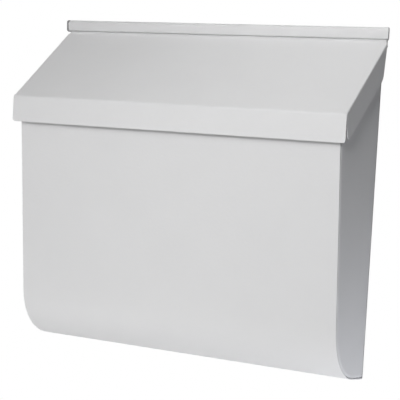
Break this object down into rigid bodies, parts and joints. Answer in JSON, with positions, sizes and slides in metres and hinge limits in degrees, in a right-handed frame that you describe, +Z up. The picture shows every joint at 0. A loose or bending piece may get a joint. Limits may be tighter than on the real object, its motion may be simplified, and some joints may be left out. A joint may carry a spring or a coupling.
{
  "type": "wall mounted post box",
  "caption": "Wide wall mounted post box of folded steel sheet, with a curved bottom and a full-width sloping lid that hangs from a rolled hood along the back.",
  "frame": {"origin": "centre of the four wall holes, on the flat back face that lies against the wall", "axes": "+X to the right seen from the front, +Y towards the wall, +Z up"},
  "size_m": [0.4036, 0.1098, 0.372],
  "materials": {
    "body_sheet": "satin white powder coat with a fine orange-peel texture",
    "lid_sheet": "satin white powder coat with a fine orange-peel texture",
    "plug": "matt mid-grey moulded plastic",
    "buffer": "matt black rubber"
  },
  "bodies": {
    "box": {"body_wrap": "body_sheet", "side_panel_right": "body_sheet", "side_panel_left": "body_sheet", "hood_plug_right": "plug", "hood_plug_left": "plug", "lid_buffer_right": "buffer", "lid_buffer_left": "buffer"},
    "lid": {"lid": "lid_sheet"}
  },
  "joints": [
    {"name": "lid_hinge", "type": "hinge", "parent": "box", "child": "lid", "pos_m": [0, -0.007, 0.1711], "axis": [-1, 0, 0], "range_deg": [0, 130]}
  ]
}
